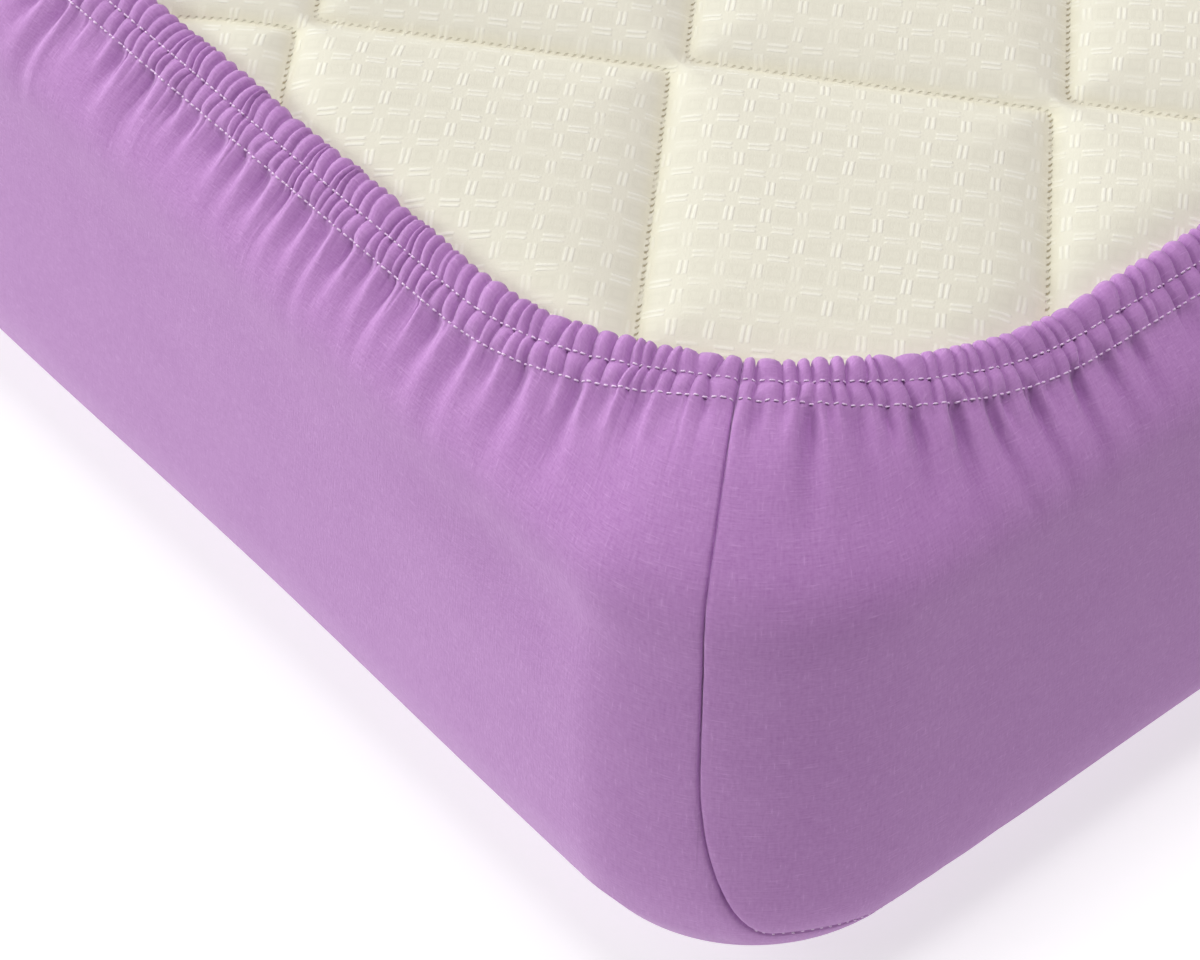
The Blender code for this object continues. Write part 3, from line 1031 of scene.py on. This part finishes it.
def ticking():
    finish = Finish("quilted_jacquard_ticking", 0.72, Sheen_Weight=0.10, Sheen_Roughness=0.5,
                    Specular_IOR_Level=0.25)
    place = finish.node("TexCoord", output=3)
    turned = finish.stretched(place, (1, 1, 1), math.radians(-42))
    wander = finish.noise(place, 45.0, 2.0)
    split = finish.node("SeparateXYZ", Vector=turned).node
    across = finish.maths(split.outputs[0]) + (wander - 0.5) * 0.0022 + 5.0
    down = finish.maths(split.outputs[1]) + (wander - 0.5) * 0.0026 + 5.0
    edge_u, edge_v = across.repeated(cell_width), down.repeated(cell_depth)
    from_u, from_v = cell_width / 2 - edge_u, cell_depth / 2 - edge_v
    upright = (edge_u - 0.0008).size().within(0.0002, 0.0005) * from_v.within(0.0022, 0.0008)
    level = (edge_v - 0.0009).size().within(0.0002, 0.0005) * from_u.within(0.0023, 0.0008)
    fading = finish.noise(place, 90.0, 3.0).within(0.36, 0.25)
    dashes = upright.high(level) * (1.0 - fading * 0.7)
    square = from_u.high(from_v)
    motif = (square - 0.0018).size().within(0.0002, 0.0006) * 0.30
    cell = square.within(0.0030, 0.0010)
    weave = finish.noise(finish.stretched(turned, (900, 2200, 900)), 1.0, 2.0)
    cross = finish.noise(finish.stretched(turned, (2200, 900, 900)), 1.0, 2.0)
    patches = finish.noise(place, 9.0, 2.0)
    colour = finish.mix(dashes * 0.68, ground, dash_thread)
    colour = finish.mix((cell * 0.34 + motif).low(1.0), colour, motif_thread)
    colour = finish.mix((patches - 0.35) * 0.35, colour, yellowed)
    seams = finish.node("UVMap", {"uv_map": "seams"})
    line = finish.node("SeparateXYZ", Vector=seams).node
    along, away = finish.maths(line.outputs[0]), finish.maths(line.outputs[1])
    # painted shade along the quilting grooves, within a few millimetres of each stitched line
    painted_groove_mask = away.within(0.0, 0.0045)
    colour = finish.mix(painted_groove_mask * 0.40, colour, painted_groove_shade)
    # painted shade in the needle holes along the stitched lines
    pulled = finish.noise(place, 260.0, 1.0)
    across_line = 1.0 - along.within(2.5, 0.5)
    hole = along.repeated(needle_pitch).within(0.00025, 0.0003) * away.within(0.0003, 0.0004)
    showing = pulled.within(0.45, 0.25) * (0.75 - across_line * 0.45)
    colour = finish.mix(hole * showing, colour, painted_hole_shade)
    height = dashes * 0.5 + (weave + cross) * 0.22 - hole * 1.2
    return finish.use(colour, height, 0.0005, 0.6)


ticking_finish = ticking()
print("ticking:", len(ticking_finish.node_tree.nodes), "nodes")

# %% [markdown]
# ## Sewing thread
#
# The hem is sewn in a paler polyester thread with a slight gloss. A stitch is under 2 mm long, so all
# it needs is a colour that varies from stitch to stitch and a trace of twist.

# %% Sewing thread
def thread():
    finish = Finish("pale_sewing_thread", 0.6, Sheen_Weight=0.1)
    place = finish.node("TexCoord", output=3)
    uneven = finish.noise(place, 900.0, 2.0)
    colour = finish.mix(uneven, (0.800, 0.560, 0.850, 1), (0.930, 0.760, 0.950, 1))
    return finish.use(colour, uneven, 0.0001, 0.4)


thread_finish = thread()
print("finishes:", [m.name for m in bpy.data.materials])

# %% [markdown]
# ## The sheet's three panels
#
# The sleeping face and both long sides are one piece of cloth. Each end is closed by a panel that is
# sewn on round its sides and its lower edge. They are separate pieces here too, because that is how
# the sheet is cut and sewn. The end panels are woven first, since the main panel takes its columns
# under the ends from them.

# %% Make the panels
end_near = add_piece("end_panel_near", end_panel_mesh("near_end"), cotton_finish,
                     ["sheet_end_panel_near"])
end_far = add_piece("end_panel_far", end_panel_mesh("far_end"), cotton_finish,
                    ["sheet_end_panel_far"])
main_panel = add_piece("main_panel", main_panel_mesh(), cotton_finish, ["sheet_main_panel"])

# %% [markdown]
# ## Stitching
#
# Both rows of stitching ride over the ridges and dive into the dips between them. A thin tube along
# the whole row would look like piping. A real row is a chain of separate stitches, each with its ends
# pulled into the cloth, so each one is a short spindle of a few faces that lies on the cloth. The end
# panels' lower seams have a finer row of their own.

# %% Spindles along a line
hem_stitch = {"pitch": 0.00235, "share": 0.76, "thick": 0.00052}
seam_stitch = {"pitch": 0.0027, "share": 0.42, "thick": 0.00058}


def spindles(points, outward, pitch, share, thick):
    """Vertices and faces of short stitches along a line of points, pulled into the cloth at their ends."""
    run = np.concatenate([[0], np.cumsum(np.linalg.norm(np.diff(points, axis=0), axis=1))])
    count = int(run[-1] / pitch)
    uneven = np.random.default_rng(count)
    starts = (np.arange(count) + 0.2 + uneven.uniform(-0.07, 0.07, count)) * run[-1] / count
    length = pitch * share * uneven.uniform(0.82, 1.12, count)
    sunk = uneven.uniform(-0.2, 0.2, count)[:, None]

    def at(values, where):
        return np.stack([np.interp(where, run, values[:, k]) for k in range(3)], -1)

    verts, faces = [], []
    rings = ((0.0, 0.0, -0.35), (0.22, 1.0, 0.45), (0.78, 1.0, 0.45), (1.0, 0.0, -0.35))
    sides = np.arange(5) * 2 * np.pi / 5
    base = np.arange(count)[:, None] * 12
    for place, wide, lift in rings:
        centre = at(points, starts + length * place)
        out = at(outward, starts + length * place)
        out /= np.linalg.norm(out, axis=1)[:, None]
        ahead = at(points, starts + length * place + 0.0002) - at(points, starts + length * place - 0.0002)
        ahead /= np.maximum(np.linalg.norm(ahead, axis=1)[:, None], 1e-9)
        beside = np.cross(ahead, out)
        beside /= np.linalg.norm(beside, axis=1)[:, None]
        centre = centre + out * thick * (lift + sunk)
        if wide:
            for turn in sides:
                verts.append(centre + (beside * np.cos(turn) + out * np.sin(turn)) * thick / 2)
        else:
            verts.append(centre)
    verts = np.stack(verts, 1).reshape(-1, 3)
    for k in range(5):
        m = (k + 1) % 5
        faces.append(base + np.array([0, 1 + m, 1 + k]))
        faces.append(base + np.array([1 + k, 1 + m, 6 + m]))
        faces.append(base + np.array([1 + k, 6 + m, 6 + k]))
        faces.append(base + np.array([11, 6 + k, 6 + m]))
    return verts, np.concatenate(faces)


# %% Join the stitches
def joined_mesh(name, parts):
    total, points, faces = 0, [], []
    for verts, tris in parts:
        points.append(verts)
        faces.append(tris + total)
        total += len(verts)
    mesh = bpy.data.meshes.new(name)
    mesh.from_pydata(np.concatenate(points).tolist(), [], np.concatenate(faces).tolist())
    mesh.shade_smooth()
    return mesh


def casing_row_at(run):
    """The section of the casing at any distance from the fold."""
    rows = np.array(casing_rows[5:])
    return tuple(np.interp(run, rows[:, 0], rows[:, k]) for k in range(6))


# %% Sew the rows
stitch_parts = []
for name, panel in panels.items():
    for run in (upper_stitching, lower_stitching):
        c = np.arange(panel.start + 0.0004, panel.end, 0.00045)
        on_cloth = casing_points(name, c, casing_row_at(run))
        out, _ = panel.directions(c, run - panel.way(c))
        stitch_parts.append(spindles(on_cloth, out, **hem_stitch))
for name in ("near_end", "far_end"):
    panel = panels[name]
    c = np.linspace(panel.start + 0.008, panel.end - 0.008, 2400)
    drop = seam_drop(panel, c) - 0.0005
    on_seam = skin_points(name, c, drop)
    out, _ = panel.directions(c, drop)
    stitch_parts.append(spindles(on_seam, out, **seam_stitch))
stitch_mesh = joined_mesh("hem_stitching", stitch_parts)
hem_stitches = add_piece("hem_stitching", stitch_mesh, thread_finish)

# %% [markdown]
# ## The mattress
#
# The ticking is quilted with lines that step across the mattress in zigzags. Neighbouring zigzags
# mirror each other, so their corners meet point to point, a few millimetres apart. Between the lines
# the wadding puffs up. A cloth simulation with pinned lines would give such a top too. It is quicker,
# and truer to the lines, to weave the mesh in strips from one zigzag to the next, so that every
# stitched line is a line of the mesh, and to raise the points between by their distance from it.

# %% Zigzag lines
node_x, node_y = 0.8337, -0.3271
side_step, rise, fall = 0.0789, 0.0676, 0.0850
gap = 0.0060  # between two zigzags where their corners meet
rising_shift = 5.2  # added along the lines that rise, which tells them from those that fall
top_inset, top_corner = 0.012, 0.044
mattress_edge, mattress_corner, underside_radius = 0.045, 0.056, 0.050
reach_x, reach_y = mattress_high.x - top_inset, mattress_high.y - top_inset


def zigzag(n, x):
    """Line number n in plan. It steps up by rise and down by fall, with corners half a gap short."""

    def sharp(x):
        place = (x - node_x) / side_step - n
        step = np.floor(place / 2)
        local = place - 2 * step
        low = node_y + n * rise + step * (rise - fall) + gap / 2
        high = low + rise - gap
        up = low + (high - low) * local
        down = high + (low + rise - fall - high) * (local - 1)
        return np.where(local < 1, up, down)

    blur = 0.0016
    return (sharp(x - blur) + sharp(x) + sharp(x + blur)) / 3


def ticking_height(away):
    """Height of the ticking over a flat mattress top, for distances from the stitched lines."""
    groove_depth, puff_height, puff_reach = 0.0028, 0.0044, 0.0078
    return -groove_depth + puff_height * (1 - np.exp(-away / puff_reach))


# %% Columns and stitched lines
columns = np.concatenate([
    node_x + side_step * np.arange(-24, -3, 1 / 10),
    node_x + side_step * np.arange(-3, 2.09, 1 / 26),
])
columns = columns[np.abs(columns) < reach_x - 0.001]
columns = np.concatenate([[-reach_x], columns, [reach_x]])
across_shares = np.array([0, 0.012, 0.03, 0.055, 0.09, 0.14, 0.21, 0.31, 0.42, 0.5])
across_shares = np.concatenate([across_shares, 1 - across_shares[-2::-1]])
lines, numbers = [np.full(len(columns), -reach_y)], [0]
for n in range(-30, 30):
    line = zigzag(n, columns)
    if line.max() > -reach_y and line.min() < reach_y:
        lines.append(np.clip(line, -reach_y, reach_y))
        numbers.append(n)
lines.append(np.full(len(columns), reach_y))
lines, numbers = np.array(lines), numbers + [0]
print(len(columns), "columns,", len(lines) - 2, "zigzags")

# %% Rows between the lines
slant = 0.7071  # a distance along Y measured square to a line at 45 degrees
no_line = 0.05  # the distance given at the rim, which has no stitched line
levels, seams_uv, nearest = [], [], []
for k, (low, high) in enumerate(zip(lines, lines[1:])):
    last_strip = k == len(lines) - 2
    for share in across_shares if last_strip else across_shares[:-1]:
        y = low + (high - low) * share
        below = (y - low) * slant if k > 0 else np.full(len(y), no_line)
        above = np.full(len(y), no_line) if last_strip else (high - y) * slant
        levels.append(y)
        seams_uv.append(np.minimum(below, above))
        nearest.append(numbers[k] if share < 0.5 else numbers[k + 1])
levels, seams_uv = np.array(levels), np.array(seams_uv)
print("ticking:", levels.shape, "points")

# %% Round corners and edges of the top
grid_x = np.broadcast_to(columns, levels.shape)
corner_u = np.maximum((np.abs(grid_x) - (reach_x - top_corner)) / top_corner, 0)
corner_v = np.maximum((np.abs(levels) - (reach_y - top_corner)) / top_corner, 0)
both = (corner_u > 0) & (corner_v > 0)
pull = np.where(both, np.maximum(corner_u, corner_v) / np.maximum(np.hypot(corner_u, corner_v), 1e-9), 1.0)
top_x = np.where(both, np.sign(grid_x) * (reach_x - top_corner + corner_u * pull * top_corner), grid_x)
top_y = np.where(both, np.sign(levels) * (reach_y - top_corner + corner_v * pull * top_corner), levels)
plan = np.stack([top_x, top_y], -1)
inside = inside_distance(plan, mattress_high.x, mattress_high.y, mattress_corner)
depth = np.clip(inside, 0, mattress_edge)
top_z = mattress_high.z - mattress_edge + np.sqrt(depth * (2 * mattress_edge - depth))
fade = np.clip((inside - 0.014) / 0.02, 0, 1)
turned = np.degrees(np.arccos(1 - np.minimum(depth / mattress_edge, 1)))
top_z = top_z + ticking_height(seams_uv) * fade + 1.2 * shoulder_fullness(turned)
print("ticking from", round(float(top_z.min()), 4), "to", round(float(top_z.max()), 4), "m high")

# %% Rings round the body of the mattress
body_levels = []  # (inset from the outline, height), from the top's rim down to the underside
for degrees in (34, 26, 17, 8, 0):
    turn = math.radians(degrees)
    reach = mattress_edge + 0.9 * float(shoulder_fullness(degrees))
    body_levels.append(
        (mattress_edge - reach * math.cos(turn), mattress_high.z - mattress_edge + reach * math.sin(turn))
    )
for turn in np.radians([0, 22.5, 45, 67.5, 90]):
    body_levels.append(
        (underside_radius * (1 - math.cos(turn)), mattress_low.z + underside_radius * (1 - math.sin(turn)))
    )
print(len(body_levels), "rings round the body")


# %% Make the mattress
def mattress_mesh():
    rows, width = levels.shape
    points = np.stack([top_x, top_y, top_z], -1).reshape(-1, 3)
    uv = np.stack([grid_x * math.sqrt(2), seams_uv], -1).reshape(-1, 2)
    index = np.arange(rows * width).reshape(rows, width)
    quads = np.stack([index[:-1, :-1], index[:-1, 1:], index[1:, 1:], index[1:, :-1]], -1).reshape(-1, 4)
    mesh = bpy.data.meshes.new("quilted_mattress")
    mesh.from_pydata(points.tolist(), [], quads.tolist())
    corners = np.zeros(len(mesh.loops), int)
    mesh.loops.foreach_get("vertex_index", corners)
    middles = (columns[:-1] + columns[1:]) / 2
    steps = np.floor((middles - node_x) / side_step)[None, :] - np.array(nearest[:-1])[:, None]
    rising = np.repeat((steps % 2 == 0).ravel(), 4)
    layer = mesh.uv_layers.new(name="seams")
    layer.data.foreach_set("uv", (uv[corners] + np.outer(rising, (rising_shift, 0.0))).ravel())
    bm = bmesh.new()
    bm.from_mesh(mesh)
    bmesh.ops.remove_doubles(bm, verts=bm.verts, dist=0.00002)
    bmesh.ops.dissolve_degenerate(bm, edges=bm.edges, dist=0.00002)
    rim = [edge for edge in bm.edges if edge.is_boundary]
    for inset, z in body_levels:
        made = bmesh.ops.extrude_edge_only(bm, edges=rim)
        verts = [item for item in made["geom"] if isinstance(item, bmesh.types.BMVert)]
        rim = [item for item in made["geom"] if isinstance(item, bmesh.types.BMEdge)]
        for vert in verts:
            core = Vector([
                math.copysign(min(abs(place), reach - mattress_corner), place)
                for place, reach in zip(vert.co.xy, mattress_high.xy)
            ])
            away = (vert.co.xy - core).normalized() * (mattress_corner - inset)
            vert.co = (core.x + away.x, core.y + away.y, z)
    bmesh.ops.holes_fill(bm, edges=rim)
    bmesh.ops.recalc_face_normals(bm, faces=bm.faces)
    bm.to_mesh(mesh)
    bm.free()
    mesh.shade_smooth()
    return mesh


mattress = add_piece("quilted_mattress", mattress_mesh(), ticking_finish, ["mattress"])

# %% [markdown]
# ## Flat sizes
#
# Whoever drapes or moves this sheet needs more than its look, such as how large each panel is when it
# lies flat. The main panel is stretched round the mattress and the ends are gathered on the elastic.
# Their flat sizes follow the cloth from the edge of the hem, over the shoulder and down the wall to the
# floor. The mattress is padded, and fairly firm.

length, width = 2 * half_x, 2 * half_y
turned_in, quarter_turn = 0.014, 1.57  # cloth inside the casing, and a quarter circle in radians
tuck = panels["near_end"].way(np.array(0.4)).item() + turned_in
side_depth = tuck + wall + edge_radius * quarter_turn
width + 2 * side_depth
print("flat: main panel", round(width + 2 * side_depth, 3), "x", round(length, 3), "m, ends",
      round(width, 3), "x", round(side_depth, 3), "m")

# %% [markdown]
# ## Floor, light and camera
#
# The sheet lies on a white ground in soft, even light. The floor gives off a little light of its own,
# so it stays white and still takes a faint shadow. A large lamp overhead lights the ticking, two
# weaker ones fill in from behind and in front, and a far one on the left makes the long side brighter
# than the end. Large lamps a few metres off give soft shadows, as in a white tent. A long lens keeps
# the sides of the box nearly parallel.

# %% Aiming
def aim(obj, target):
    obj.rotation_mode = "QUATERNION"
    obj.rotation_quaternion = (Vector(target) - obj.location).to_track_quat("-Z", "Y")


lit_corner = Vector((0.87, -0.35, 0.10))
print("lamps are aimed at", tuple(round(x, 2) for x in lit_corner))


# %% Floor and surroundings
def floor_mesh():
    mesh = bpy.data.meshes.new("floor")
    size = 14.0
    corners = [(-size, -size, 0), (size, -size, 0), (size, size, 0), (-size, size, 0)]
    mesh.from_pydata(corners, [], [(0, 1, 2, 3)])
    return mesh


floor_finish = Finish("pale_floor", 0.9, Emission_Color=(0.99, 1.0, 0.985, 1), Emission_Strength=0.65,
                      Specular_IOR_Level=0.1)
floor_finish.shader.inputs["Base Color"].default_value = (0.50, 0.50, 0.50, 1)
floor = placed("floor", floor_mesh())
floor.data.materials.append(floor_finish.material)
floor.location.z = -0.0004

world = bpy.data.worlds.new("studio")
bpy.context.scene.world = world
world.use_nodes = True
background = world.node_tree.nodes["Background"]
background.inputs["Color"].default_value = (1.0, 1.0, 1.0, 1)
background.inputs["Strength"].default_value = 0.02
print("floor at", round(floor.location.z, 4), "m")


# %% Lamps
def area_light(name, place, target, size, power, colour):
    data = bpy.data.lights.new(name, "AREA")
    data.shape, data.size, data.energy, data.color = "DISK", size, power, colour
    light = placed(name, data)
    light.location = place
    light.visible_camera = False
    aim(light, target)


warm_left, cool_top = (0.985, 1.03, 0.985), (1.0, 0.965, 1.0)
lights = (
    # name, direction from the corner, distance, size, power in watts, colour
    ("overhead", (0.0, 0.0, 1.0), 4.0, 1.86, 104, cool_top),
    ("from_behind", (0.05, 0.9, 1.0), 4.0, 1.7, 31, cool_top),
    ("front_left", (-0.5, -0.85, 0.45), 5.0, 1.96, 70, warm_left),
    ("left", (-0.98, -0.2, 0.15), 7.0, 2.75, 370, warm_left),
)
for name, direction, distance, size, power, colour in lights:
    place = lit_corner + Vector(direction).normalized() * distance
    area_light(name, place, lit_corner, size, power, colour)
print("lamps:", [row[0] for row in lights])

# %% Camera
camera = placed("camera", bpy.data.cameras.new("camera"))
camera.data.lens, camera.data.sensor_width = 117.0, 36.0
camera.data.clip_start, camera.data.clip_end = 0.02, 60
camera.location = (1.4556, -0.8716, 0.8561)
aim(camera, (0.8746, -0.3887, 0.09))
bpy.context.scene.camera = camera
bpy.context.scene.view_settings.view_transform = "Standard"
print("camera:", camera.data.lens, "mm lens at", tuple(round(x, 2) for x in camera.location))

# %% [markdown]
# ## Size
#
# The cloth may stand a few millimetres proud of the solid model's outer box.
